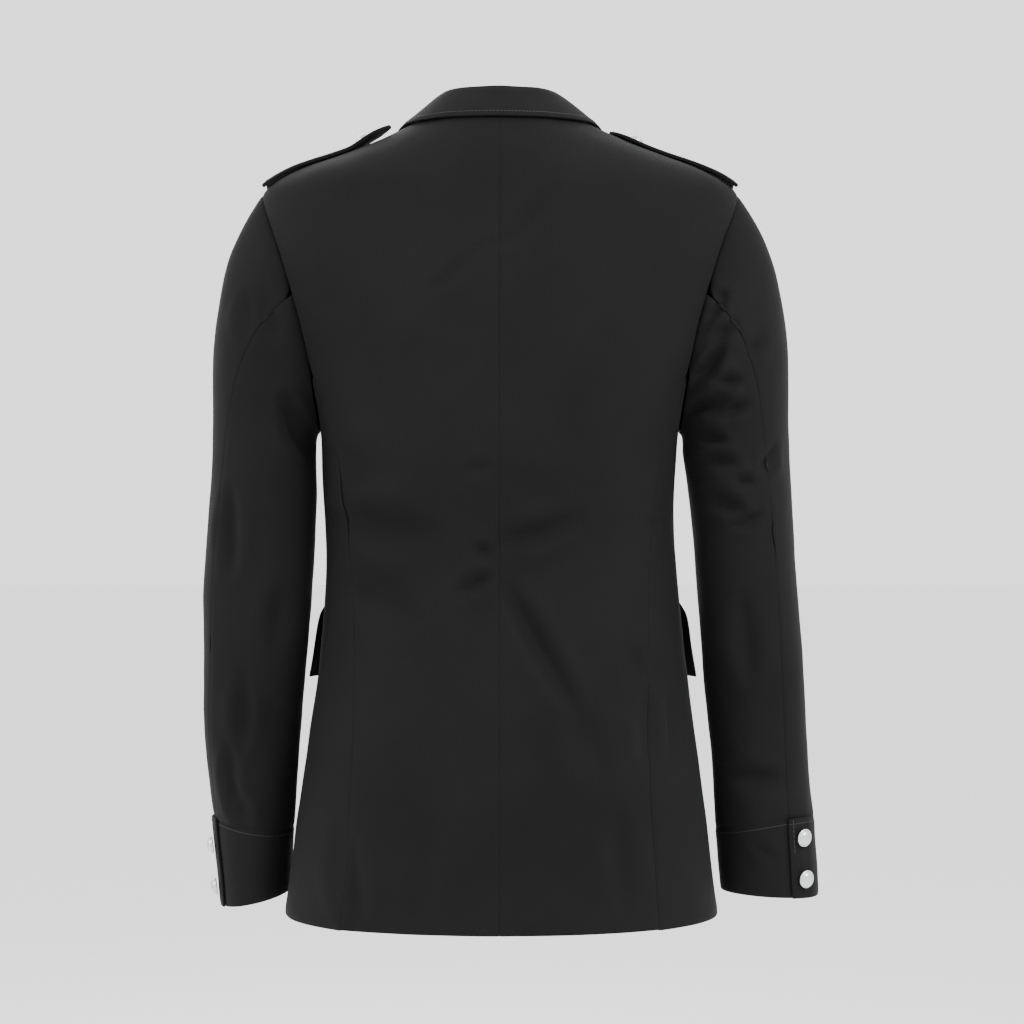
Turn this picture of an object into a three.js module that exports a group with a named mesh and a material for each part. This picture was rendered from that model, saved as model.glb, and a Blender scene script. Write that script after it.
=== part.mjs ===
// An officer coat, filled out as it is worn, with nobody in it.
// Millimetres, +Z up. The coat's front faces -Y and the wearer's left is +X.
// The origin is the middle of the neck, level with the collar seam, where the wearer carries the coat.
//
// Every cloth piece is a thin wall on one of three surfaces: the body, a sleeve, or the collar.
// A surface is a function from two numbers to a point, and a piece is a patch of it with edges.

import * as THREE from "three";

// ---------------------------------------------------------------- driving dimensions

const CLOTH = 2; // wall of a body, sleeve or pocket piece
const STRAP_CLOTH = 3; // two layers of cloth sewn together
const SEAM = 0.45; // gap between two pieces at a seam, and under a piece that lies on another

const HEM = -711;
const NECK_EDGE = -5; // top edge of the body panels, where the collar is sewn on

const ARMHOLE_MIDDLE = -175;
const ARMHOLE_HALF_HEIGHT = 110;
const ARMHOLE_BACK_SCOOP = 26; // degrees round the body from the side line to the armhole's back edge
const ARMHOLE_FRONT_SCOOP = 30;
const ARMHOLE_GAP = 1; // from the armhole's line to the body's edge, and to the sleeve's

const FRONT_OVERLAP = 22; // how far each front runs past the centre line
const LAPEL_BREAK = -268; // height where the lapel starts to turn back
const NECK_SIDE_X = 74; // half width of the neck, where the roll line ends

const BUTTON_RADIUS = 8;
const BUTTON_STANDOFF = 0.5; // a flat button back on a round cuff or front
const FRONT_BUTTONS = { top: -281, spacing: 74, count: 4 };

const BLACK_CLOTH = { color: 0x1b1b1c, roughness: 0.92, metalness: 0 };
const SILVER = { color: 0xc4c6c8, roughness: 0.3, metalness: 1 };

// ---------------------------------------------------------------- shape tables

// Rings round the body from hem to neck: half width on the wearer's left and right,
// how far back and forward the centre lines stand, and how square the ring is (2 is an ellipse).
const BODY_RINGS = [
  { z: -711, left: 194, right: 197, back: 119, front: 126, square: 2.2 },
  { z: -648, left: 186, right: 189, back: 118, front: 124, square: 2.2 },
  { z: -576, left: 176, right: 180, back: 115, front: 121, square: 2.2 },
  { z: -504, left: 165, right: 170, back: 109, front: 116, square: 2.2 },
  { z: -440, left: 158, right: 163, back: 101, front: 110, square: 2.2 },
  { z: -385, left: 157, right: 157, back: 97, front: 107, square: 2.25 },
  { z: -330, left: 160, right: 157, back: 103, front: 112, square: 2.3 },
  { z: -285, left: 161, right: 160, back: 109, front: 117, square: 2.3 },
  { z: -230, left: 178, right: 178, back: 112, front: 118, square: 2.3 },
  { z: -175, left: 196, right: 196, back: 111, front: 114, square: 2.3 },
  { z: -120, left: 209, right: 209, back: 106, front: 103, square: 2.3 },
  { z: -66, left: 214, right: 214, back: 95, front: 86, square: 2.2 },
  { z: -50, left: 190, right: 190, back: 90, front: 80, square: 2.1 },
  { z: -36, left: 150, right: 150, back: 84, front: 74, square: 2.05 },
  { z: -17, left: 101, right: 101, back: 74, front: 66, square: 2 },
  { z: -5, left: 78, right: 78, back: 67, front: 60, square: 2 },
];

// Where the seams run round the body, in degrees from the centre back.
const BODY_SEAMS = [
  { z: -711, sideBack: 42, sideFront: 125 },
  { z: -560, sideBack: 45, sideFront: 124 },
  { z: -385, sideBack: 55, sideFront: 121 },
  { z: -300, sideBack: 62, sideFront: 117 },
  { z: -235, sideBack: 68.2, sideFront: 114.5 },
];

// Large soft folds on the body: a line from one point to another as seen from behind,
// how wide the fold is and how far it stands out (a trough is negative).
const BODY_FOLDS = [
  { x1: 138, z1: -352, x2: 52, z2: -378, width: 15, out: -3.2 },
  { x1: 132, z1: -412, x2: 66, z2: -448, width: 15, out: -2.2 },
  { x1: -4, z1: -408, x2: -66, z2: -520, width: 14, out: -2.8 },
  { x1: -70, z1: -530, x2: -92, z2: -590, width: 18, out: -1.8 },
  { x1: -6, z1: -376, x2: -72, z2: -362, width: 12, out: -2.0 },
  { x1: 120, z1: -640, x2: 132, z2: -711, width: 16, out: 2.4 },
  { x1: -126, z1: -520, x2: -128, z2: -600, width: 12, out: -1.8 },
  { x1: 128, z1: -300, x2: 118, z2: -336, width: 18, out: -2.4 },
];

// Rings down each arm: centre, half width across and half depth from front to back.
const ARM_RINGS = {
  left: [
    { z: -712, x: 223.5, y: -34, across: 30.5, deep: 48 },
    { z: -640, x: 224, y: -28, across: 36.5, deep: 49 },
    { z: -561, x: 224.5, y: -18, across: 43.5, deep: 52 },
    { z: -500, x: 222, y: -11, across: 46.5, deep: 54 },
    { z: -432, x: 218.5, y: -5, across: 49.5, deep: 56 },
    { z: -350, x: 213, y: 0, across: 49, deep: 60 },
    { z: -300, x: 211, y: 1, across: 46.5, deep: 62 },
  ],
  right: [
    { z: -712, x: 246, y: -26, across: 45, deep: 36 },
    { z: -640, x: 241, y: -21, across: 45.5, deep: 40 },
    { z: -579, x: 235.5, y: -15, across: 44, deep: 46 },
    { z: -500, x: 229, y: -9, across: 46.5, deep: 50 },
    { z: -410, x: 222, y: -3, across: 45, deep: 56 },
    { z: -346, x: 216.5, y: 0, across: 46.5, deep: 60 },
    { z: -300, x: 211.5, y: 1, across: 48, deep: 62 },
  ],
};

// How each sleeve is turned: where its elbow seam runs at the armhole, elbow and wrist,
// in degrees from the outside towards the back, and where the cuff's edges lie.
const ARM_TOP = -300; // where the sleeve has turned down from the armhole into the arm

const SLEEVE_TURN = {
  left: { armhole: 84, elbow: 44, wrist: 36, cuffTop: -640, cuffRise: 12, cuffEnd: -704, cuffTilt: 6 },
  right: { armhole: 84, elbow: 63, wrist: 68, cuffTop: -640, cuffRise: 14, cuffEnd: -698, cuffTilt: 2 },
};
const UNDER_SLEEVE_SPAN = 165; // degrees from the elbow seam round the inside to the front seam
const CUFF_LAP = 22; // degrees of the cuff band that lap over its other end
const CUFF_BUTTONS = { turn: -17, low: 14, spacing: 30 };

// Soft folds down the sleeves: height, degrees round, half height, half angle, and how far it stands out.
const SLEEVE_FOLDS = {
  left: [
    { z: -330, turn: 108, tall: 26, wide: 30, out: -3.0 },
    { z: -420, turn: 70, tall: 60, wide: 16, out: -2.2 },
    { z: -540, turn: 80, tall: 60, wide: 18, out: -2.0 },
    { z: -620, turn: 60, tall: 30, wide: 22, out: 1.6 },
  ],
  right: [
    { z: -325, turn: 96, tall: 12, wide: 50, out: -3.0 },
    { z: -352, turn: 84, tall: 9, wide: 44, out: 2.2 },
    { z: -380, turn: 100, tall: 12, wide: 40, out: -2.4 },
    { z: -590, turn: 84, tall: 12, wide: 40, out: -2.0 },
  ],
};

// The collar from the centre back round to its front end. The roll line is its top,
// and the fall's edge lies on the body at a place given in degrees round and height.
const COLLAR = [
  { turn: 0, rollX: 0, rollY: 57, rollZ: 20, edgeTurn: 0, edgeZ: -11 },
  { turn: 45, rollX: 42, rollY: 41, rollZ: 20, edgeTurn: 45, edgeZ: -11 },
  { turn: 90, rollX: 60, rollY: 2, rollZ: 16, edgeTurn: 90, edgeZ: -11 },
  { turn: 120, rollX: 66, rollY: -32, rollZ: -1, edgeTurn: 122, edgeZ: -24 },
  { turn: 150, rollX: 64, rollY: -60, rollZ: -26, edgeTurn: 141, edgeZ: -40 },
  { turn: 180, rollX: 55, rollY: -81, rollZ: -58, edgeTurn: 152, edgeZ: -58 },
];
const COLLAR_LIFT = 2.6; // how far the fall's edge stands off the cloth under it
const NOTCH_DEPTH = 15;
const STAND_HALF_TURN = 112; // the stand ends here, in front of the shoulder seams

const LAPEL = { top: -66, width: 66, tipDrop: 30, lift: 1 };
const LAPEL_START = { left: -262, right: -203 }; // the right lapel's foot is hidden under the left front

const STRAP = { outerX: 209, tipX: 97, width: 44, tipWidth: 38, point: 12 };
const STRAP_SIDES = { left: { shift: 8, tipLift: 7 }, right: { shift: 0, tipLift: 1.5 } };
const STRAP_LIFT = 1; // under a strap, which bridges the round of the shoulder
const STRAP_BUTTON_X = 120;

const POCKET = { backTurn: 104, frontTurn: 149, top: -446, bottom: -655, depth: 7 };
const FLAP = { backTurn: 102.5, frontTurn: 150.5, top: -430, bottom: -505, flare: 3 };

// ---------------------------------------------------------------- small helpers

const SIDES = { left: 1, right: -1 }; // direction of X on each side
const radians = (degrees) => (degrees * Math.PI) / 180;
const mix = (a, b, t) => a + (b - a) * t;
const clamp01 = (t) => Math.min(1, Math.max(0, t));
const smooth = (t) => clamp01(t) ** 2 * (3 - 2 * clamp01(t));
const bell = (t) => Math.exp(-t * t);

// Reads one column of a table at any place, with a smooth curve through its rows.
function readTable(table, column, place, by = "z") {
  const last = table.length - 1;
  const at = clampPlace(table, by, place);
  let row = 0;
  while (row < last - 1 && at > table[row + 1][by]) row += 1;
  const [a, b] = [table[row], table[row + 1]];
  const step = b[by] - a[by];
  const slope = (i) => {
    const [low, high] = [table[Math.max(0, i - 1)], table[Math.min(last, i + 1)]];
    return (high[column] - low[column]) / (high[by] - low[by]);
  };
  const t = (at - a[by]) / step;
  const [m0, m1] = [slope(row) * step, slope(row + 1) * step];
  const [t2, t3] = [t * t, t * t * t];
  return (
    (2 * t3 - 3 * t2 + 1) * a[column] + (t3 - 2 * t2 + t) * m0 + (3 * t2 - 2 * t3) * b[column] + (t3 - t2) * m1
  );
}

function clampPlace(table, by, place) {
  return Math.min(table[table.length - 1][by], Math.max(table[0][by], place));
}

// The direction square to a surface, found from points close to each other on it.
function normalOf(surface, u, v, facing) {
  const d = 1e-3;
  const du = surface(u + d, v).sub(surface(u - d, v));
  const dv = surface(u, v + d).sub(surface(u, v - d));
  return du.cross(dv).normalize().multiplyScalar(facing);
}

// ---------------------------------------------------------------- a wall of cloth

// Makes a closed wall from a surface: `inner` and `outer` are its two faces' distances from it.
// `us` and `vs` are the places of its grid lines, and `edgeNormal` turns the wall's first edge.
function wall(surface, { us, vs, inner, outer, facing, edgeNormal }) {
  const columns = us.length;
  const rows = vs.length;
  const skin = (distance) =>
    vs.flatMap((v, j) =>
      us.map((u) => {
        const normal = edgeNormal && j === 0 ? edgeNormal(u) : normalOf(surface, u, v, facing);
        const away = typeof distance === "function" ? distance(u, v) : distance;
        return surface(u, v).addScaledVector(normal, away);
      }),
    );
  const points = [...skin(outer), ...skin(inner)];
  const back = columns * rows;
  const index = [];
  const quad = (a, b, c, d) => index.push(a, b, c, a, c, d);
  for (let j = 0; j < rows - 1; j += 1) {
    for (let i = 0; i < columns - 1; i += 1) {
      const [a, b] = [j * columns + i, j * columns + i + 1];
      const [c, d] = [b + columns, a + columns];
      quad(a, b, c, d);
      quad(back + a, back + d, back + c, back + b);
    }
  }
  for (const [a, b] of rimEdges(columns, rows)) quad(b, a, back + a, back + b);
  return closedGeometry(points, index);
}

// The grid's outline, edge by edge.
function rimEdges(columns, rows) {
  const top = (rows - 1) * columns;
  const edges = [];
  for (let i = 0; i < columns - 1; i += 1) edges.push([i, i + 1], [top + i + 1, top + i]);
  for (let j = 0; j < rows - 1; j += 1) {
    edges.push([(j + 1) * columns, j * columns], [(j + 1) * columns - 1, (j + 2) * columns - 1]);
  }
  return edges;
}

function closedGeometry(points, index) {
  let volume = 0;
  for (let k = 0; k < index.length; k += 3) {
    const [a, b, c] = [points[index[k]], points[index[k + 1]], points[index[k + 2]]];
    volume += a.dot(b.clone().cross(c));
  }
  if (volume < 0) index.reverse();
  const geometry = new THREE.BufferGeometry();
  geometry.setAttribute("position", new THREE.Float32BufferAttribute(points.flatMap((p) => p.toArray()), 3));
  geometry.setIndex(index);
  geometry.computeVertexNormals();
  return geometry;
}

// Even grid lines from 0 to 1, and grid lines at stated heights with a count between each two.
const even = (count) => Array.from({ length: count + 1 }, (_, i) => i / count);

function between(stations, counts) {
  const lines = [stations[0]];
  counts.forEach((count, k) => {
    for (let i = 1; i <= count; i += 1) lines.push(mix(stations[k], stations[k + 1], i / count));
  });
  return lines;
}

// ---------------------------------------------------------------- the body's surface

// A point round the body: 0 degrees is the centre back, 90 the side line and 180 the centre front.
function bodyPoint(side, degrees, z) {
  const angle = radians(degrees);
  const power = 2 / readTable(BODY_RINGS, "square", z);
  const own = Math.sin(angle) >= 0 ? side : -side;
  const halfWidth = readTable(BODY_RINGS, own > 0 ? "left" : "right", z);
  const depth = Math.cos(angle) >= 0 ? readTable(BODY_RINGS, "back", z) : -readTable(BODY_RINGS, "front", z);
  return new THREE.Vector3(
    own * halfWidth * Math.abs(Math.sin(angle)) ** power,
    depth * Math.abs(Math.cos(angle)) ** power,
    z,
  );
}

function foldHeight(point) {
  if (point.y < 0) return 0;
  let total = 0;
  for (const fold of BODY_FOLDS) {
    const [dx, dz] = [fold.x2 - fold.x1, fold.z2 - fold.z1];
    const length = Math.hypot(dx, dz);
    const along = ((point.x - fold.x1) * dx + (point.z - fold.z1) * dz) / length;
    const away = ((point.x - fold.x1) * dz - (point.z - fold.z1) * dx) / length;
    const past = Math.max(0, -along, along - length);
    total += fold.out * bell(away / fold.width) * bell(past / (1.5 * fold.width));
  }
  return total;
}

// The body with its folds, moved out by a distance.
function body(side, degrees, z, out = 0) {
  const place = bodyPoint(side, degrees, z);
  const normal = normalOf((u, v) => bodyPoint(side, u, v), degrees, z, -side);
  return place.addScaledVector(normal, foldHeight(place) + out);
}

// The place round the body, in degrees, where the front lies this far from the centre line.
function frontTurn(side, x, z) {
  const power = readTable(BODY_RINGS, "square", z) / 2;
  const own = x >= 0 ? side : -side;
  const halfWidth = readTable(BODY_RINGS, own > 0 ? "left" : "right", z);
  const turn = (Math.asin(clamp01(Math.abs(x) / halfWidth) ** power) * 180) / Math.PI;
  return 180 - Math.sign(x) * turn;
}

// Half of the seam gap, as degrees round the body.
function seamTurn(side, degrees, z) {
  const arc = bodyPoint(side, degrees + 0.5, z).distanceTo(bodyPoint(side, degrees - 0.5, z));
  return SEAM / 2 / arc;
}

// ---------------------------------------------------------------- body pieces

// The armhole's edge on the body, as degrees round it at a height. `grow` widens it all round.
function armholeTurn(z, front, grow) {
  const reach = (z - ARMHOLE_MIDDLE) / (ARMHOLE_HALF_HEIGHT + grow);
  if (Math.abs(reach) >= 1) return 90;
  const scoop = (front ? ARMHOLE_FRONT_SCOOP : ARMHOLE_BACK_SCOOP) + grow / 2;
  return 90 + (front ? 1 : -1) * scoop * Math.sqrt(1 - reach * reach);
}

function armholeBottom(degrees, grow) {
  const scoop = (degrees > 90 ? ARMHOLE_FRONT_SCOOP : ARMHOLE_BACK_SCOOP) + grow / 2;
  const across = clamp01(Math.abs(degrees - 90) / scoop);
  return ARMHOLE_MIDDLE - (ARMHOLE_HALF_HEIGHT + grow) * Math.sqrt(1 - across * across);
}

const SEAM_TOP = BODY_SEAMS[BODY_SEAMS.length - 1].z;

// The outer edge of a back or front panel: the side seam, then the armhole, then the shoulder seam.
function panelEdge(side, z, front) {
  const inward = front ? 1 : -1;
  const seam = readTable(BODY_SEAMS, front ? "sideFront" : "sideBack", z);
  const edge = z <= SEAM_TOP ? seam : armholeTurn(z, front, ARMHOLE_GAP);
  return edge + inward * seamTurn(side, edge, z);
}

// How far past the centre line a front runs, and above the break how far short of it.
function frontEdgeX(z) {
  const rise = clamp01((z - LAPEL_BREAK) / (NECK_EDGE - LAPEL_BREAK));
  return mix(-FRONT_OVERLAP, NECK_SIDE_X, rise);
}

// The left front laps over the right one, so it stands one wall further out there.
function lapLift(side, x, z) {
  if (side < 0) return 0;
  const besideLap = smooth((92 - x) / 38);
  const belowNeck = smooth((-120 - z) / 60);
  return (CLOTH + SEAM) * besideLap * belowNeck;
}

const SIDE_SEAM_EASE = 4.6; // the side panel stands a little further from its curved seams

const PANEL_ROWS = between(
  [HEM, -560, -385, SEAM_TOP, -95, -65, -36, NECK_EDGE],
  [3, 4, 4, 5, 3, 2, 2],
);

function backPanel(side) {
  const surface = (u, z) => {
    const centre = seamTurn(side, 0, z);
    return body(side, mix(centre, panelEdge(side, z, false), u), z);
  };
  return wall(surface, { us: even(7), vs: PANEL_ROWS, inner: -CLOTH, outer: 0, facing: -side });
}

function frontPanel(side) {
  const surface = (u, z) => {
    const edge = frontTurn(side, frontEdgeX(z), z);
    const turn = mix(panelEdge(side, z, true), edge, u);
    return body(side, turn, z, lapLift(side, side * bodyPoint(side, turn, z).x, z));
  };
  return wall(surface, { us: even(8), vs: PANEL_ROWS, inner: -CLOTH, outer: 0, facing: -side });
}

function sidePanel(side) {
  const edges = (z) => [readTable(BODY_SEAMS, "sideBack", z), readTable(BODY_SEAMS, "sideFront", z)];
  const topOf = (u) => {
    let top = SEAM_TOP;
    for (let k = 0; k < 12; k += 1) top = armholeBottom(mix(...edges(top), u), ARMHOLE_GAP);
    return top;
  };
  const surface = (u, v) => {
    const z = mix(HEM, topOf(clamp01(u)), v);
    const [back, front] = edges(z);
    const gap = SIDE_SEAM_EASE * seamTurn(side, mix(back, front, u), z);
    return body(side, mix(back + gap, front - gap, u), z);
  };
  return wall(surface, { us: even(7), vs: even(10), inner: -CLOTH, outer: 0, facing: -side });
}

// ---------------------------------------------------------------- sleeves

// The armhole's edge as a loop: 0 degrees is its top, 90 its back and 180 its bottom.
function armholeLoop(side, degrees) {
  const angle = radians(degrees);
  const z = ARMHOLE_MIDDLE + (ARMHOLE_HALF_HEIGHT - ARMHOLE_GAP) * Math.cos(angle);
  const scoop = Math.sin(angle) > 0 ? ARMHOLE_BACK_SCOOP : ARMHOLE_FRONT_SCOOP;
  return { turn: 90 - (scoop - ARMHOLE_GAP / 2) * Math.sin(angle), z };
}

function armholeNormal(side, degrees) {
  const loop = armholeLoop(side, degrees);
  return normalOf((a, b) => bodyPoint(side, a, b), loop.turn, loop.z, -side);
}

// 1 under the arm, where the sleeve doubles back beside the body, and 0 over most of the armhole.
const underarm = (degrees) => smooth(-1.6 * Math.cos(radians(degrees)) - 0.4);

// A point on the arm at a height: 0 degrees is the outside, 90 the back and 180 the inside.
function armPoint(name, degrees, z) {
  const rings = ARM_RINGS[name];
  const angle = radians(degrees);
  const read = (column) => readTable(rings, column, z);
  const x = read("x") + read("across") * Math.cos(angle);
  return new THREE.Vector3(SIDES[name] * x, read("y") + read("deep") * Math.sin(angle), z);
}

function sleeveFoldHeight(name, degrees, z) {
  let total = 0;
  for (const fold of SLEEVE_FOLDS[name]) {
    total += fold.out * bell((z - fold.z) / fold.tall) * bell((degrees - fold.turn) / fold.wide);
  }
  return total * smooth((ARM_TOP - z) / 24);
}

// The sleeve's surface. From 0 to 1 it leaves the armhole and turns down into the arm,
// and from 1 to 2 it goes down the arm to the cuff seam.
function sleevePoint(name, degrees, along) {
  const side = SIDES[name];
  if (along > 1) {
    const z = mix(ARM_TOP, cuffSeam(name, degrees), along - 1);
    const point = armPoint(name, degrees, z);
    const out = new THREE.Vector3(side * Math.cos(radians(degrees)), Math.sin(radians(degrees)), 0);
    return point.addScaledVector(out, sleeveFoldHeight(name, degrees, z));
  }
  const loop = armholeLoop(side, degrees);
  const outward = armholeNormal(side, degrees);
  const start = bodyPoint(side, loop.turn, loop.z).addScaledVector(outward, 2 * SEAM * underarm(degrees));
  const end = armPoint(name, degrees, ARM_TOP);
  const topness = (1 + Math.cos(radians(degrees))) / 2;
  const reach = end.clone().sub(start).length();
  const away = side * mix(1, 0.62, topness);
  const leave = new THREE.Vector3(away, 0.28 * Math.sin(radians(degrees)), -0.8 * topness ** 0.3);
  const arrive = new THREE.Vector3(0, 0, -1);
  leave.multiplyScalar(reach * mix(0.9, 1.15, topness));
  arrive.multiplyScalar(reach * 0.9);
  const [t, t2, t3] = [along, along ** 2, along ** 3];
  return new THREE.Vector3()
    .addScaledVector(start, 2 * t3 - 3 * t2 + 1)
    .addScaledVector(leave, t3 - 2 * t2 + t)
    .addScaledVector(end, 3 * t2 - 2 * t3)
    .addScaledVector(arrive, t3 - t2);
}

// Height of the seam between the sleeve and its cuff, which rises towards the elbow seam.
function cuffSeam(name, degrees) {
  const turn = SLEEVE_TURN[name];
  const rise = (1 + Math.cos(radians(degrees - turn.wrist + 20))) / 2;
  return turn.cuffTop + turn.cuffRise * rise ** 2;
}

// Where the elbow seam lies round the sleeve, which turns with the arm.
function elbowSeam(name, along) {
  const turn = SLEEVE_TURN[name];
  const elbow = 1.35;
  if (along < elbow) return mix(turn.armhole, turn.elbow, smooth(along / elbow));
  return mix(turn.elbow, turn.wrist, (along - elbow) / (2 - elbow));
}

const SLEEVE_ROWS = between([0, 0.3, 1, 2], [2, 3, 9]);
const sleeveGapTurn = (along) => ((0.8 * SEAM) / mix(80, 45, clamp01(along))) * (180 / Math.PI);

function sleevePiece(name, piece) {
  const side = SIDES[name];
  const span = (along) => {
    const elbow = elbowSeam(name, along);
    const inside = elbow + UNDER_SLEEVE_SPAN;
    return piece === "under" ? [elbow, inside] : [inside - 360, elbow];
  };
  const turnAt = (u, along) => {
    const [low, high] = span(along);
    const gap = sleeveGapTurn(along);
    return mix(low + gap, high - gap, u);
  };
  const surface = (u, along) => sleevePoint(name, turnAt(u, clamp01(along / 2) * 2), clamp01(along / 2) * 2);
  const edgeNormal = (u) => {
    const own = normalOf(surface, u, 0.002, -side);
    return armholeNormal(side, turnAt(u, 0)).lerp(own, underarm(turnAt(u, 0))).normalize();
  };
  const us = even(piece === "under" ? 9 : 11);
  return wall(surface, { us, vs: SLEEVE_ROWS, inner: -CLOTH, outer: 0, facing: -side, edgeNormal });
}

// A cuff band goes once round the wrist and laps over its own end beside the elbow seam.
function cuffPoint(name, degrees, down) {
  const turn = SLEEVE_TURN[name];
  const low = turn.cuffEnd - turn.cuffTilt * Math.cos(radians(degrees));
  return armPoint(name, degrees, mix(cuffSeam(name, degrees) - SEAM, low, down));
}

function cuffLift(u) {
  const lap = CUFF_LAP / (360 + CUFF_LAP);
  return (CLOTH + SEAM) * smooth((u - (1 - 2.4 * lap)) / (1.2 * lap));
}

function cuff(name) {
  const side = SIDES[name];
  const start = SLEEVE_TURN[name].wrist - CUFF_LAP;
  const surface = (u, down) => cuffPoint(name, start + u * (360 + CUFF_LAP), down);
  return wall(surface, {
    us: even(26),
    vs: even(2),
    inner: (u) => cuffLift(u) - CLOTH,
    outer: cuffLift,
    facing: -side,
  });
}

// ---------------------------------------------------------------- collar and lapels

// The fall from its roll line (0) to its edge (1), at a place round the neck.
function fallPoint(turn, down) {
  const side = turn >= 0 ? 1 : -1;
  const place = Math.min(180, Math.abs(turn));
  const read = (column) => readTable(COLLAR, column, place, "turn");
  const roll = new THREE.Vector3(side * read("rollX"), read("rollY"), read("rollZ"));
  const edge = body(side, read("edgeTurn"), read("edgeZ"), COLLAR_LIFT + CLOTH);
  const notch = smooth((place - 160) / 20) * NOTCH_DEPTH * (1 - Math.abs(2 * down - 1));
  const point = roll.lerp(edge, down);
  point.z -= notch;
  if (point.z < NECK_EDGE && point.y < 0) {
    const x = side * point.x;
    const front = body(side, frontTurn(side, x, point.z), point.z);
    point.y = Math.min(point.y, front.y - COLLAR_LIFT - CLOTH);
  }
  return point;
}

function collarFall() {
  const turns = between([-180, -150, 0, 150, 180], [3, 9, 9, 3]);
  return wall((u, v) => fallPoint(u, v), { us: turns, vs: even(4), inner: -CLOTH, outer: 0, facing: 1 });
}

// The stand rises from the neck seam to just under the roll line.
function standPoint(turn, up) {
  const side = turn >= 0 ? 1 : -1;
  const place = Math.abs(turn);
  const read = (column) => readTable(COLLAR, column, place, "turn");
  const foot = bodyPoint(side, place, NECK_EDGE).setZ(NECK_EDGE + SEAM);
  const head = new THREE.Vector3(side * (read("rollX") - 5), read("rollY") * 0.93, read("rollZ") - 4);
  return foot.lerp(head, up);
}

function collarStand() {
  const turns = between([-STAND_HALF_TURN, 0, STAND_HALF_TURN], [9, 9]);
  const edgeNormal = (u) => standPoint(u, 0).setZ(0).normalize();
  const vs = even(2);
  return wall((u, v) => standPoint(u, v), { us: turns, vs, inner: -CLOTH, outer: 0, facing: -1, edgeNormal });
}

// A lapel lies on its front, from the roll line out to its edge and up to the gorge.
function lapel(name) {
  const side = SIDES[name];
  const surface = (u, v) => {
    const foldZ = mix(LAPEL_START[name], LAPEL.top, v);
    const foldX = frontEdgeX(foldZ);
    const rise = clamp01((foldZ - LAPEL_BREAK) / (LAPEL.top - LAPEL_BREAK));
    const x = foldX + u * LAPEL.width * rise ** 0.62;
    const z = foldZ - u * LAPEL.tipDrop * rise * rise;
    return body(side, frontTurn(side, x, z), z, lapLift(side, x, z) + SEAM + LAPEL.lift * u);
  };
  return wall(surface, { us: even(4), vs: even(9), inner: 0, outer: CLOTH, facing: side });
}

// ---------------------------------------------------------------- shoulder straps

// The height of the shoulder at a place seen from above.
function shoulderTop(x, y) {
  const side = Math.sign(x) || 1;
  let [low, high] = [-130, NECK_EDGE];
  for (let k = 0; k < 40; k += 1) {
    const z = (low + high) / 2;
    const power = readTable(BODY_RINGS, "square", z);
    const halfWidth = readTable(BODY_RINGS, side > 0 ? "left" : "right", z);
    const depth = readTable(BODY_RINGS, y >= 0 ? "back" : "front", z);
    const inside = (Math.abs(x) / halfWidth) ** power + (Math.abs(y) / depth) ** power < 1;
    if (inside) low = z;
    else high = z;
  }
  return new THREE.Vector3(x, y, (low + high) / 2);
}

function strapPoint(name, u, v) {
  const across = 2 * v - 1;
  const { shift, tipLift } = STRAP_SIDES[name];
  const x = mix(STRAP.outerX, STRAP.tipX + STRAP.point * Math.abs(across) ** 1.6, u);
  const y = shift * u + (across * mix(STRAP.width, STRAP.tipWidth, u)) / 2;
  const point = shoulderTop(SIDES[name] * x, y);
  point.z += tipLift * smooth((u - 0.72) / 0.28);
  return point;
}

function strap(name) {
  const surface = (u, v) => strapPoint(name, u, v);
  return wall(surface, {
    us: even(11),
    vs: even(6),
    inner: STRAP_LIFT,
    outer: STRAP_LIFT + STRAP_CLOTH,
    facing: -SIDES[name],
  });
}

// ---------------------------------------------------------------- pockets

// How far the pocket's face stands off the front: it swells away from its sewn sides and bottom.
function pocketSwell(u, v) {
  const nearSide = Math.min(u, 1 - u) / 0.09;
  const nearBottom = v / 0.06;
  return POCKET.depth * smooth(nearSide) * smooth(nearBottom) * mix(1, 0.7, v);
}

function pocketBag(side) {
  const surface = (u, v) => {
    const z = mix(POCKET.bottom, POCKET.top, v);
    const turn = mix(POCKET.backTurn, POCKET.frontTurn, u);
    return body(side, turn, z, SEAM + pocketSwell(clamp01(u), clamp01(v)));
  };
  const us = between([0, 0.09, 0.91, 1], [2, 5, 2]);
  const vs = between([0, 0.06, 1], [2, 7]);
  return wall(surface, { us, vs, inner: 0, outer: CLOTH, facing: -side });
}

function pocketFlap(side) {
  const over = SEAM + POCKET.depth + CLOTH + SEAM;
  const surface = (u, v) => {
    const z = mix(FLAP.bottom, FLAP.top, v);
    const turn = mix(FLAP.backTurn, FLAP.frontTurn, u);
    const drape = mix(over + FLAP.flare * (1 - v) ** 2, 2 * SEAM, smooth((v - 0.72) / 0.28));
    return body(side, turn, z, drape);
  };
  return wall(surface, { us: even(8), vs: between([0, 0.72, 1], [3, 3]), inner: 0, outer: CLOTH, facing: -side });
}

// ---------------------------------------------------------------- buttons

// A domed button with a rolled rim, standing on a place and facing along a direction.
function button(place, direction) {
  const r = BUTTON_RADIUS;
  const profile = [
    [0, 0],
    [r - 0.8, 0],
    [r, 0.7],
    [r, 1.5],
    [r - 0.9, 2],
    [r * 0.72, 3.4],
    [r * 0.42, 4.5],
    [0, 5],
  ].map(([x, y]) => new THREE.Vector2(x, y));
  const geometry = new THREE.LatheGeometry(profile, 12);
  const turn = new THREE.Quaternion().setFromUnitVectors(new THREE.Vector3(0, 1, 0), direction);
  geometry.applyQuaternion(turn);
  const seat = place.clone().addScaledVector(direction, SEAM);
  geometry.translate(seat.x, seat.y, seat.z);
  return geometry;
}

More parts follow.
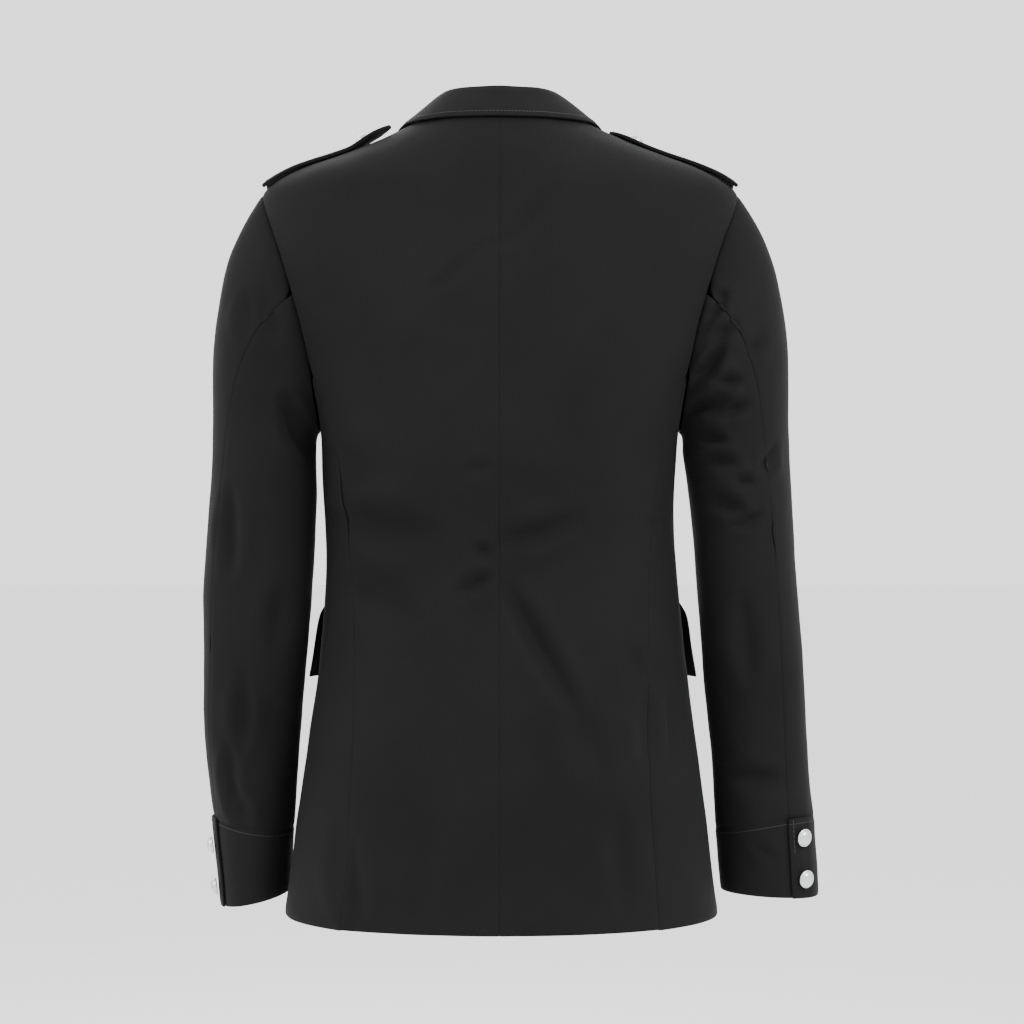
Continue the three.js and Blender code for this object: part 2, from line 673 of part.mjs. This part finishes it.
function cuffButton(name, index) {
  const side = SIDES[name];
  const turn = SLEEVE_TURN[name];
  const degrees = turn.wrist + CUFF_BUTTONS.turn;
  const height = 1 - (CUFF_BUTTONS.low + index * CUFF_BUTTONS.spacing) / (turn.cuffTop - turn.cuffEnd);
  const surface = (u, v) => cuffPoint(name, u, v);
  const normal = normalOf(surface, degrees, height, -side);
  return button(surface(degrees, height).addScaledVector(normal, CLOTH + SEAM + BUTTON_STANDOFF), normal);
}

function strapButton(name) {
  const u = (STRAP.outerX - STRAP_BUTTON_X) / (STRAP.outerX - STRAP.tipX);
  const surface = (a, b) => strapPoint(name, a, b);
  const normal = normalOf(surface, u, 0.5, -SIDES[name]);
  return button(surface(u, 0.5).addScaledVector(normal, STRAP_LIFT + STRAP_CLOTH + BUTTON_STANDOFF), normal);
}

function frontButton(index) {
  const z = FRONT_BUTTONS.top - index * FRONT_BUTTONS.spacing;
  const place = body(1, 180, z, CLOTH + SEAM + BUTTON_STANDOFF);
  return button(place, new THREE.Vector3(0, -1, 0));
}

// ---------------------------------------------------------------- the coat

const coat = new THREE.Group();

function add(name, geometry, finish) {
  const mesh = new THREE.Mesh(geometry, new THREE.MeshStandardMaterial(finish));
  mesh.name = name;
  coat.add(mesh);
}

for (const [name, side] of Object.entries(SIDES)) {
  add(`back_${name}`, backPanel(side), BLACK_CLOTH);
  add(`side_${name}`, sidePanel(side), BLACK_CLOTH);
  add(`front_${name}`, frontPanel(side), BLACK_CLOTH);
  add(`lapel_${name}`, lapel(name), BLACK_CLOTH);
  add(`top_sleeve_${name}`, sleevePiece(name, "top"), BLACK_CLOTH);
  add(`under_sleeve_${name}`, sleevePiece(name, "under"), BLACK_CLOTH);
  add(`cuff_${name}`, cuff(name), BLACK_CLOTH);
  add(`shoulder_strap_${name}`, strap(name), BLACK_CLOTH);
  add(`pocket_bag_${name}`, pocketBag(side), BLACK_CLOTH);
  add(`pocket_flap_${name}`, pocketFlap(side), BLACK_CLOTH);
  add(`strap_button_${name}`, strapButton(name), SILVER);
  for (const index of [0, 1]) add(`cuff_button_${name}_${index + 1}`, cuffButton(name, index), SILVER);
}
add("collar_stand", collarStand(), BLACK_CLOTH);
add("collar_fall", collarFall(), BLACK_CLOTH);
for (let index = 0; index < FRONT_BUTTONS.count; index += 1) {
  add(`front_button_${index + 1}`, frontButton(index), SILVER);
}

export default coat;
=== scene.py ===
import math

import bmesh
import bpy
from mathutils import Matrix, Vector, noise
from mathutils.bvhtree import BVHTree
from mathutils.kdtree import KDTree


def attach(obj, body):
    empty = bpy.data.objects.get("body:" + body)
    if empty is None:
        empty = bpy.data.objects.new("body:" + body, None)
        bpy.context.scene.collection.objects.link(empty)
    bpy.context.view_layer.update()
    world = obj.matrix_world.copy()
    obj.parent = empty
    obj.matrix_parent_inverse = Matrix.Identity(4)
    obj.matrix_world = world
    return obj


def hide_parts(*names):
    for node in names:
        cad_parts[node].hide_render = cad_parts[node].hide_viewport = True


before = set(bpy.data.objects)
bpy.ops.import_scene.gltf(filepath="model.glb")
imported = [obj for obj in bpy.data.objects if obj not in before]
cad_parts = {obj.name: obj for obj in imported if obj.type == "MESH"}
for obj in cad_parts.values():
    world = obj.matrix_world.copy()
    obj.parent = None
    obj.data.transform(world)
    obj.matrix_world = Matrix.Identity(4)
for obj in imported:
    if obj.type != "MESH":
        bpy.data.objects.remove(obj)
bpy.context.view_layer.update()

# ------------------------------------------------------------ the cloth of the whole coat
# Heavy black cotton twill, 2 mm thick with its seams, matt, with a faint bloom at grazing light.
# Each piece is a thin shell on its solid's outer face, with its listed folds pressed in.

CLOTH = 0.002
TWILL_RIB = 0.0011
SEAM_TAKE_UP = 0.00045  # how far each edge runs on into its seam
EASED_TAKE_UP = 0.0011  # the same, for the side panels and sleeves, which are eased in
SEAM_PINCH = 0.0006  # how far a sewn edge is drawn in
PINCH_WIDTH = 0.0032
HOLD, HOLD_WIDTH = 0.55, 0.007  # how much a seam holds a fold flat, and how far from its edge
SLACK = 0.0011  # how far the cloth strays from smooth where it has no fold
BROAD_STRAY, FINE_STRAY = 14, 41
FOLD_STRENGTH = 2.0
FOLD_REACH = 4  # in widths of the fold
RIDGE_PLACE, RIDGE_SHARE = 1.9, 0.4
FINER_LEVELS = 3


def twill(name, black, bloom):
    """Black twill: fine diagonal ribs, yarn grain, and slow shifts of tone where it is handled."""
    material = bpy.data.materials.new(name)
    material.use_nodes = True
    nodes, links = material.node_tree.nodes, material.node_tree.links
    cloth = nodes["Principled BSDF"]
    cloth.inputs["Roughness"].default_value = 0.82
    cloth.inputs["Specular IOR Level"].default_value = 0.11
    cloth.inputs["Sheen Weight"].default_value = bloom
    cloth.inputs["Sheen Roughness"].default_value = 0.45
    cloth.inputs["Sheen Tint"].default_value = (0.85, 0.87, 0.92, 1)
    place = nodes.new("ShaderNodeTexCoord")
    lean = nodes.new("ShaderNodeMapping")
    lean.inputs["Rotation"].default_value = (0.3, math.radians(45), 0.2)
    ribs = nodes.new("ShaderNodeTexWave")
    ribs.inputs["Scale"].default_value = 0.31 / TWILL_RIB
    ribs.inputs["Distortion"].default_value = 1.2
    ribs.inputs["Detail"].default_value = 2
    yarn = nodes.new("ShaderNodeTexNoise")
    yarn.inputs["Scale"].default_value = 1400
    yarn.inputs["Detail"].default_value = 3
    wear = nodes.new("ShaderNodeTexNoise")
    wear.inputs["Scale"].default_value = 9
    wear.inputs["Detail"].default_value = 4
    tone = nodes.new("ShaderNodeValToRGB")
    tone.color_ramp.elements[0].position = 0.3
    tone.color_ramp.elements[0].color = (black * 0.8, black * 0.8, black * 0.82, 1)
    tone.color_ramp.elements[1].position = 0.72
    tone.color_ramp.elements[1].color = (black * 1.22, black * 1.22, black * 1.24, 1)
    rib_bump = nodes.new("ShaderNodeBump")
    rib_bump.inputs["Strength"].default_value = 0.3
    rib_bump.inputs["Distance"].default_value = 0.0002
    yarn_bump = nodes.new("ShaderNodeBump")
    yarn_bump.inputs["Strength"].default_value = 0.35
    yarn_bump.inputs["Distance"].default_value = 0.00025
    links.new(place.outputs["Object"], lean.inputs["Vector"])
    links.new(lean.outputs["Vector"], ribs.inputs["Vector"])
    links.new(place.outputs["Object"], yarn.inputs["Vector"])
    links.new(place.outputs["Object"], wear.inputs["Vector"])
    links.new(wear.outputs["Fac"], tone.inputs["Fac"])
    links.new(tone.outputs["Color"], cloth.inputs["Base Color"])
    links.new(ribs.outputs["Fac"], rib_bump.inputs["Height"])
    links.new(yarn.outputs["Fac"], yarn_bump.inputs["Height"])
    links.new(rib_bump.outputs["Normal"], yarn_bump.inputs["Normal"])
    links.new(yarn_bump.outputs["Normal"], cloth.inputs["Normal"])
    return material


STITCH_INSET = 0.0045
STITCH_SHARE = 0.68  # of the length from one stitch to the next
THREAD, FLAT_THREAD = 0.0006, 0.00036
black_thread = bpy.data.materials.new("black_thread")
black_thread.use_nodes = True
thread_shader = black_thread.node_tree.nodes["Principled BSDF"]
thread_shader.inputs["Base Color"].default_value = (0.009, 0.009, 0.0095, 1)
thread_shader.inputs["Roughness"].default_value = 0.6
black_twill = twill("black_twill", black=0.0046, bloom=0.016)
RIM_ANGLE = math.radians(50)  # sharper than this, an edge is the rim of a cloth piece
RIM_ROUNDING = 0.0006


def outer_skin(node):
    """The outer face of a cloth solid, as four-sided faces."""
    bm = bmesh.new()
    bm.from_mesh(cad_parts[node].data)
    bmesh.ops.remove_doubles(bm, verts=bm.verts, dist=1e-5)
    bm.normal_update()
    left = set(bm.faces)
    skins = []
    while left:
        start = left.pop()
        skin, front = {start}, [start]
        while front:
            for edge in front.pop().edges:
                if len(edge.link_faces) == 2 and edge.calc_face_angle(0) < RIM_ANGLE:
                    for face in edge.link_faces:
                        if face in left:
                            left.discard(face)
                            skin.add(face)
                            front.append(face)
        skins.append(skin)
    outer = max(skins, key=lambda skin: sum(face.calc_area() for face in skin))
    bmesh.ops.delete(bm, geom=[face for face in bm.faces if face not in outer], context="FACES")
    bmesh.ops.join_triangles(
        bm,
        faces=bm.faces[:],
        angle_face_threshold=math.radians(60),
        angle_shape_threshold=math.radians(80),
    )
    return bm


def smoothed(bm, name):
    """The same skin, made finer and rounder, with its corners kept."""
    mesh = bpy.data.meshes.new(name)
    bm.to_mesh(mesh)
    bm.free()
    rough = bpy.data.objects.new(name, mesh)
    bpy.context.collection.objects.link(rough)
    finer = rough.modifiers.new("finer", "SUBSURF")
    finer.levels = finer.render_levels = FINER_LEVELS
    finer.boundary_smooth = "PRESERVE_CORNERS"
    bpy.context.view_layer.update()
    shape = rough.evaluated_get(bpy.context.evaluated_depsgraph_get())
    fine = bmesh.new()
    fine.from_mesh(shape.to_mesh())
    shape.to_mesh_clear()
    bpy.data.objects.remove(rough)
    bpy.data.meshes.remove(mesh)
    return fine


def beside_line(x, z, line):
    """How far a place is from a bent line, and its share of the way along it, seen square on."""
    lengths = [math.dist(a, b) for a, b in zip(line, line[1:])]
    best, share, passed = math.inf, 0.0, 0.0
    for (ax, az), (bx, bz), length in zip(line, line[1:], lengths):
        dx, dz = bx - ax, bz - az
        t = max(0.0, min(1.0, ((x - ax) * dx + (z - az) * dz) / (length * length)))
        away = math.hypot(x - ax - t * dx, z - az - t * dz)
        if away < best:
            best, share = away, (passed + t * length) / sum(lengths)
        passed += length
    return best, share


def close_seams(bm, take_up):
    """Lets the skin's edges run on to meet their neighbours. Returns where the edges are."""
    moves = {}
    for edge in bm.edges:
        if edge.is_boundary:
            face = edge.link_faces[0]
            run = (edge.verts[1].co - edge.verts[0].co).normalized()
            middle = (edge.verts[0].co + edge.verts[1].co) / 2
            away = middle - face.calc_center_median()
            away = (away - away.dot(run) * run).normalized()
            for vert in edge.verts:
                moves[vert] = moves.get(vert, Vector()) + away
    for vert, away in moves.items():
        vert.co = vert.co + away.normalized() * take_up
    edges = KDTree(len(moves))
    for index, vert in enumerate(moves):
        edges.insert(vert.co, index)
    edges.balance()
    return edges


def press_folds(bm, folds, take_up):
    """Presses folds into a skin. A trough has a low ridge at each side, as a real fold has."""
    edges = close_seams(bm, take_up)
    for vert in bm.verts:
        x, y, z = vert.co
        normal = vert.normal
        from_edge = edges.find(vert.co)[2]
        out = SLACK * noise.noise(Vector((x, y, z)) * BROAD_STRAY)
        out -= SEAM_PINCH * math.exp(-((from_edge / PINCH_WIDTH) ** 2))
        out += 0.4 * SLACK * noise.noise(Vector((x, y, z)) * FINE_STRAY)
        hold = 1 - HOLD * math.exp(-((from_edge / HOLD_WIDTH) ** 2))
        for side, width, depth, line in folds:
            facing = normal.y * (1 if side == "back" else -1)
            if facing > 0:
                away, share = beside_line(x, z, line)
                swell = 0.25 + 0.75 * math.sin(math.pi * share) ** 0.8
                d = away / (width * (0.6 + 0.5 * swell))
                if d < FOLD_REACH:
                    trough = math.exp(-d * d)
                    ridge = RIDGE_SHARE * math.exp(-((d - RIDGE_PLACE) ** 2))
                    press = FOLD_STRENGTH * hold * depth * swell
                    out -= press * (trough - ridge) * min(1, facing * 2)
        vert.co = vert.co + normal * out


def topstitch(name, skin, sewn):
    """A row of thread beside the edges whose middles `sewn` picks, one stitch to an edge."""
    surface = BVHTree.FromBMesh(skin)
    threads = bmesh.new()
    for edge in skin.edges:
        if not edge.is_boundary:
            continue
        middle = (edge.verts[0].co + edge.verts[1].co) / 2
        if not sewn(middle):
            continue
        run = (edge.verts[1].co - edge.verts[0].co).normalized()
        inward = edge.link_faces[0].calc_center_median() - middle
        inward = (inward - inward.dot(run) * run).normalized()
        place, normal, _, _ = surface.find_nearest(middle + inward * STITCH_INSET)
        across = normal.cross(run).normalized()
        turn = Matrix((run, across, normal)).transposed().to_4x4()
        size = Matrix.Diagonal((STITCH_SHARE * edge.calc_length(), THREAD, FLAT_THREAD, 1))
        bmesh.ops.create_cube(threads, size=1, matrix=Matrix.Translation(place) @ turn @ size)
    mesh = bpy.data.meshes.new(name)
    threads.to_mesh(mesh)
    threads.free()
    mesh.materials.append(black_thread)
    row = bpy.data.objects.new(name, mesh)
    bpy.context.collection.objects.link(row)
    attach(row, "root")


def make_cloth(name, node, folds=(), thickness=CLOTH, sewn=None, take_up=SEAM_TAKE_UP):
    """One cloth piece: its solid's outer face, made fine, folded, then thickened inwards."""
    fine = smoothed(outer_skin(node), name)
    fine.normal_update()
    press_folds(fine, folds, take_up)
    fine.normal_update()
    if sewn:
        topstitch(f"stitching_{name}", fine, sewn)
    mesh = bpy.data.meshes.new(name)
    fine.to_mesh(mesh)
    fine.free()
    for face in mesh.polygons:
        face.use_smooth = True
    piece = bpy.data.objects.new(name, mesh)
    bpy.context.collection.objects.link(piece)
    wall = piece.modifiers.new("wall", "SOLIDIFY")
    wall.thickness = thickness
    wall.offset = -1
    edge = piece.modifiers.new("edge", "BEVEL")
    edge.width = RIM_ROUNDING
    edge.segments = 2
    edge.limit_method = "ANGLE"
    edge.angle_limit = RIM_ANGLE
    mesh.materials.append(black_twill)
    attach(piece, "root")
    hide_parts(node)
    return piece


# ------------------------------------------------------------ back, side panels and fronts
# Two backs joined down the middle, a side panel under each arm, and two lapped fronts.
# The waist is pulled in at the centre back, so folds run from there out and down.

# side, width and depth of each fold, then the bent line that it follows in X and Z
BODY_FOLDS = [
    ("back", 0.013, 0.0042, [(0.136, -0.357), (0.094, -0.367), (0.055, -0.374)]),
    ("back", 0.006, 0.0024, [(0.022, -0.384), (0.004, -0.389)]),
    ("back", 0.008, 0.0032, [(-0.003, -0.380), (-0.029, -0.373), (-0.066, -0.358)]),
    (
        "back",
        0.008,
        0.0038,
        [(-0.002, -0.414), (-0.017, -0.437), (-0.041, -0.479), (-0.063, -0.519)],
    ),
    ("back", 0.013, 0.0022, [(-0.063, -0.519), (-0.076, -0.548), (-0.088, -0.582)]),
    ("back", 0.006, 0.0028, [(0.036, -0.422), (0.003, -0.407)]),
    ("back", 0.014, 0.0030, [(0.132, -0.412), (0.098, -0.431), (0.069, -0.453)]),
    ("back", 0.005, 0.0016, [(0.029, -0.318), (0.007, -0.314)]),
    ("back", 0.012, 0.0016, [(-0.007, -0.322), (-0.043, -0.344)]),
    ("back", 0.005, 0.0018, [(-0.129, -0.364), (-0.142, -0.362)]),
    ("back", 0.012, 0.0028, [(-0.110, -0.474), (-0.139, -0.498)]),
    ("back", 0.007, 0.0022, [(-0.126, -0.512), (-0.127, -0.566)]),
    ("back", 0.006, 0.0020, [(-0.149, -0.505), (-0.150, -0.563)]),
    ("back", 0.010, 0.0030, [(0.135, -0.624), (0.128, -0.664), (0.122, -0.707)]),
    ("back", 0.014, 0.0024, [(0.141, -0.303), (0.104, -0.322)]),
    (
        "back",
        0.006,
        0.0013,
        [(-0.046, -0.077), (-0.030, -0.098), (-0.010, -0.121), (0.019, -0.129)],
    ),
    ("back", 0.006, 0.0013, [(0.019, -0.129), (0.040, -0.154), (0.057, -0.164)]),
    ("back", 0.009, 0.0016, [(-0.100, -0.610), (-0.108, -0.690)]),
    ("back", 0.011, 0.0016, [(0.060, -0.600), (0.066, -0.700)]),
    ("front", 0.012, 0.0034, [(-0.012, -0.352), (-0.060, -0.362), (-0.118, -0.350)]),
    ("front", 0.010, 0.0032, [(0.014, -0.356), (0.052, -0.374), (0.120, -0.380)]),
    ("front", 0.009, 0.0026, [(0.016, -0.428), (0.058, -0.408), (0.104, -0.404)]),
    ("front", 0.010, 0.0024, [(-0.014, -0.430), (-0.048, -0.420), (-0.100, -0.398)]),
    ("front", 0.014, 0.0022, [(0.150, -0.180), (0.118, -0.232), (0.080, -0.270)]),
    ("front", 0.012, 0.0026, [(-0.156, -0.190), (-0.126, -0.232), (-0.092, -0.262)]),
    ("front", 0.012, 0.0020, [(0.040, -0.560), (0.052, -0.640), (0.048, -0.706)]),
    ("front", 0.010, 0.0018, [(-0.052, -0.580), (-0.044, -0.702)]),
]

for side in ("left", "right"):
    back = make_cloth(f"coat_back_{side}", f"back_{side}", BODY_FOLDS)
    under_arm = make_cloth(f"coat_side_{side}", f"side_{side}", BODY_FOLDS, take_up=EASED_TAKE_UP)
    front = make_cloth(f"coat_front_{side}", f"front_{side}", BODY_FOLDS)

# ------------------------------------------------------------ sleeves
# A two-piece sleeve each side, cut with a bend at the elbow. The right one bunches at the armpit
# and along the upper arm; the left hangs smoother, with long soft folds.

RIGHT_SLEEVE_FOLDS = [
    ("back", 0.0045, 0.0024, [(-0.187, -0.167), (-0.199, -0.161)]),
    ("back", 0.0045, 0.0026, [(-0.183, -0.182), (-0.197, -0.169)]),
    ("back", 0.0045, 0.0026, [(-0.187, -0.201), (-0.206, -0.188)]),
    ("back", 0.0050, 0.0036, [(-0.168, -0.237), (-0.181, -0.229), (-0.195, -0.208)]),
    ("back", 0.0045, 0.0026, [(-0.190, -0.240), (-0.211, -0.238)]),
    ("back", 0.0050, 0.0028, [(-0.210, -0.222), (-0.231, -0.202)]),
    ("back", 0.0050, 0.0036, [(-0.163, -0.264), (-0.187, -0.259), (-0.203, -0.249)]),
    ("back", 0.0050, 0.0034, [(-0.186, -0.267), (-0.218, -0.259)]),
    ("back", 0.0050, 0.0030, [(-0.175, -0.284), (-0.198, -0.292)]),
    ("back", 0.0055, 0.0034, [(-0.180, -0.305), (-0.206, -0.310)]),
    ("back", 0.0045, 0.0026, [(-0.207, -0.326), (-0.223, -0.326)]),
    ("back", 0.0050, 0.0028, [(-0.228, -0.316), (-0.241, -0.297)]),
    ("back", 0.0055, 0.0032, [(-0.180, -0.336), (-0.196, -0.344), (-0.214, -0.353)]),
    ("back", 0.0050, 0.0030, [(-0.203, -0.365), (-0.218, -0.361), (-0.228, -0.354)]),
    ("back", 0.0080, 0.0034, [(-0.200, -0.584), (-0.226, -0.589), (-0.248, -0.588)]),
    ("back", 0.0090, 0.0020, [(-0.212, -0.430), (-0.220, -0.500)]),
    ("front", 0.0070, 0.0030, [(-0.190, -0.250), (-0.220, -0.262)]),
    ("front", 0.0080, 0.0034, [(-0.196, -0.300), (-0.232, -0.318)]),
    ("front", 0.0080, 0.0036, [(-0.206, -0.382), (-0.244, -0.372)]),
    ("front", 0.0070, 0.0030, [(-0.212, -0.410), (-0.246, -0.420)]),
    ("front", 0.0080, 0.0026, [(-0.216, -0.560), (-0.252, -0.580)]),
]
LEFT_SLEEVE_FOLDS = [
    ("back", 0.0060, 0.0024, [(0.222, -0.163), (0.220, -0.202)]),
    ("back", 0.0080, 0.0044, [(0.187, -0.256), (0.178, -0.282), (0.164, -0.309)]),
    ("back", 0.0090, 0.0024, [(0.206, -0.168), (0.198, -0.200)]),
    ("back", 0.0070, 0.0028, [(0.235, -0.334), (0.236, -0.370), (0.236, -0.406)]),
    ("back", 0.0060, 0.0024, [(0.226, -0.498), (0.227, -0.560)]),
    ("back", 0.0060, 0.0022, [(0.239, -0.564), (0.240, -0.611)]),
    ("back", 0.0060, 0.0022, [(0.237, -0.595), (0.226, -0.634)]),
    ("back", 0.0090, 0.0022, [(0.190, -0.420), (0.196, -0.470)]),
    ("front", 0.0070, 0.0030, [(0.188, -0.240), (0.222, -0.256)]),
    ("front", 0.0080, 0.0034, [(0.190, -0.296), (0.234, -0.318)]),
    ("front", 0.0080, 0.0036, [(0.198, -0.392), (0.246, -0.380)]),
    ("front", 0.0070, 0.0028, [(0.204, -0.422), (0.244, -0.436)]),
]
for side, folds in (("left", LEFT_SLEEVE_FOLDS), ("right", RIGHT_SLEEVE_FOLDS)):
    top = make_cloth(f"sleeve_top_{side}", f"top_sleeve_{side}", folds, take_up=EASED_TAKE_UP)
    under = make_cloth(f"sleeve_under_{side}", f"under_sleeve_{side}", folds, take_up=EASED_TAKE_UP)

# ------------------------------------------------------------ cuffs
# A band of the same twill round each wrist, lapped over its own end beside the elbow seam.
# Its top edge is sewn to the sleeve, and two buttons close the lap.

CUFF_STITCHED_ABOVE = -0.66
CUFF_FOLDS = [
    ("back", 0.0045, 0.0012, [(-0.224, -0.650), (-0.236, -0.656), (-0.247, -0.662)]),
    ("back", 0.0045, 0.0010, [(-0.252, -0.622), (-0.264, -0.617)]),
]


def cuff_top(place):
    """The cuff's top edge and the upper part of its lapped end."""
    return place.z > CUFF_STITCHED_ABOVE


for side in ("left", "right"):
    cuff = make_cloth(f"cuff_band_{side}", f"cuff_{side}", CUFF_FOLDS, sewn=cuff_top)

# ------------------------------------------------------------ collar and lapels
# The same twill. A stand band is hidden under the fall, which turns down all round. Each lapel
# is a turned-back front edge, made as its own piece, with an open notch between it and the fall.

collar_stand = make_cloth("collar_stand_band", "collar_stand")

ROLL_LINE = 0.004


def fall_edge(place):
    """The fall's lower edge and its front ends, which lie outside its roll line."""
    return place.z < ROLL_LINE


def every_edge(place):
    """Stitched all round."""
    return True


collar_fall = make_cloth("collar_fall_cloth", "collar_fall", sewn=fall_edge)
for side in ("left", "right"):
    lapel = make_cloth(f"lapel_cloth_{side}", f"lapel_{side}", sewn=every_edge)

# ------------------------------------------------------------ shoulder straps and pockets
# Straps are doubled cloth, sewn in at the sleeve and buttoned near the neck. The pockets are
# bellows bags sewn on three sides, each under its own flap.

STRAP_CLOTH = 0.003
BAG_STITCHED_BELOW = -0.46


def bag_sides(place):
    """The bag's two sides and its bottom; its mouth is left open."""
    return place.z < BAG_STITCHED_BELOW


for side in ("left", "right"):
    strap_node = f"shoulder_strap_{side}"
    strap = make_cloth(f"strap_{side}", strap_node, thickness=STRAP_CLOTH, sewn=every_edge)
    bag = make_cloth(f"bag_{side}", f"pocket_bag_{side}", sewn=bag_sides)
    flap = make_cloth(f"flap_{side}", f"pocket_flap_{side}", sewn=every_edge)

# ------------------------------------------------------------ buttons
# Domed and polished silver-coloured metal with a rolled rim, 16 mm across. One is sewn to each
# strap, two to each cuff and four down the front, each a little off its cloth.

BUTTON_RADIUS = 0.008
# radius and height, in button radii, from the middle of the back round the rim to the dome's foot
BUTTON_PROFILE = [(0.0, 0.0), (0.93, 0.0), (1.0, 0.06), (1.0, 0.15), (0.95, 0.21), (0.88, 0.235)]
DOME_EDGE, DOME_HEIGHT = (0.84, 0.215), 0.42
DOME_STEPS, ROUND_STEPS = 8, 48

silver = bpy.data.materials.new("silver_button")
silver.use_nodes = True
metal = silver.node_tree.nodes["Principled BSDF"]
metal.inputs["Metallic"].default_value = 1
metal.inputs["Base Color"].default_value = (0.62, 0.63, 0.64, 1)
brushed = silver.node_tree.nodes.new("ShaderNodeTexNoise")
brushed.inputs["Scale"].default_value = 700
smudge = silver.node_tree.nodes.new("ShaderNodeMapRange")
smudge.inputs["To Min"].default_value = 0.2
smudge.inputs["To Max"].default_value = 0.42
button_place = silver.node_tree.nodes.new("ShaderNodeTexCoord")
silver.node_tree.links.new(button_place.outputs["Object"], brushed.inputs["Vector"])
silver.node_tree.links.new(brushed.outputs["Fac"], smudge.inputs["Value"])
silver.node_tree.links.new(smudge.outputs["Result"], metal.inputs["Roughness"])

button_nodes = [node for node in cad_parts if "button" in node]
for node in button_nodes:
    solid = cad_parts[node].data
    flat = max(solid.polygons, key=lambda face: face.area)
    back_normal = flat.normal.copy()
    back_faces = [face for face in solid.polygons if face.normal.dot(back_normal) > 0.999]
    area = sum(face.area for face in back_faces)
    seat = sum((face.center * face.area for face in back_faces), Vector()) / area
    bm = bmesh.new()
    profile = list(BUTTON_PROFILE)
    for step in range(DOME_STEPS + 1):
        turn = math.radians(90 * step / DOME_STEPS)
        rise = DOME_EDGE[1] + DOME_HEIGHT * math.sin(turn)
        profile.append((DOME_EDGE[0] * math.cos(turn), rise))
    ring = [bm.verts.new((r * BUTTON_RADIUS, 0, h * BUTTON_RADIUS)) for r, h in profile]
    edges = [bm.edges.new(pair) for pair in zip(ring, ring[1:])]
    bmesh.ops.spin(
        bm,
        geom=ring + edges,
        axis=(0, 0, 1),
        cent=(0, 0, 0),
        steps=ROUND_STEPS,
        angle=math.tau,
        use_merge=True,
    )
    bmesh.ops.remove_doubles(bm, verts=bm.verts, dist=1e-6)
    bmesh.ops.recalc_face_normals(bm, faces=bm.faces)
    tilt = Vector((0, 0, 1)).rotation_difference(-back_normal).to_matrix().to_4x4()
    bmesh.ops.transform(bm, matrix=Matrix.Translation(seat) @ tilt, verts=bm.verts)
    mesh = bpy.data.meshes.new(f"domed_{node}")
    bm.to_mesh(mesh)
    bm.free()
    for face in mesh.polygons:
        face.use_smooth = True
    mesh.materials.append(silver)
    dome = bpy.data.objects.new(f"domed_{node}", mesh)
    bpy.context.collection.objects.link(dome)
    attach(dome, "root")
    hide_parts(node)

# ------------------------------------------------------------ floor, light and camera
# A plain pale floor well under the coat, soft lamps, and a camera straight behind it.

FLOOR_HEIGHT, FLOOR_REACH = -1.45, 30
bm = bmesh.new()
bmesh.ops.create_grid(bm, x_segments=1, y_segments=1, size=FLOOR_REACH)
bmesh.ops.translate(bm, verts=bm.verts, vec=(0, 0, FLOOR_HEIGHT))
floor_mesh = bpy.data.meshes.new("floor")
bm.to_mesh(floor_mesh)
bm.free()
floor = bpy.data.objects.new("floor", floor_mesh)
bpy.context.collection.objects.link(floor)
pale = bpy.data.materials.new("pale_floor")
pale.use_nodes = True
pale.node_tree.nodes["Principled BSDF"].inputs["Base Color"].default_value = (0.9, 0.9, 0.9, 1)
pale.node_tree.nodes["Principled BSDF"].inputs["Roughness"].default_value = 0.9
floor_mesh.materials.append(pale)

world = bpy.data.worlds.new("soft_white")
bpy.context.scene.world = world
world.use_nodes = True
world.node_tree.nodes["Background"].inputs["Color"].default_value = (1, 1, 1, 1)
world.node_tree.nodes["Background"].inputs["Strength"].default_value = 1.9


def soft_lamp(name, place, aim, size, power):
    lamp = bpy.data.lights.new(name, "AREA")
    lamp.shape = "SQUARE"
    lamp.size = size
    lamp.energy = power
    holder = bpy.data.objects.new(name, lamp)
    holder.location = place
    holder.rotation_euler = (Vector(aim) - Vector(place)).to_track_quat("-Z", "Y").to_euler()
    bpy.context.collection.objects.link(holder)


MIDDLE = (0, 0, -0.35)
soft_lamp("key", (-1.7, 1.6, 1.4), MIDDLE, 0.9, 75)
soft_lamp("fill", (1.9, 0.9, 0.6), MIDDLE, 1.2, 30)
soft_lamp("front_wash", (0.6, -2.4, 1.0), MIDDLE, 1.6, 45)

CAMERA_DISTANCE = 1.9
FRAME_WIDTH = 0.9216
camera = bpy.data.cameras.new("camera")
camera.sensor_width = 36
camera.lens = 36 * CAMERA_DISTANCE / FRAME_WIDTH
camera_holder = bpy.data.objects.new("camera", camera)
camera_holder.location = (-0.0108, CAMERA_DISTANCE, -0.353)
camera_holder.rotation_euler = (math.radians(90), 0, math.radians(180))
bpy.context.collection.objects.link(camera_holder)
bpy.context.scene.camera = camera_holder
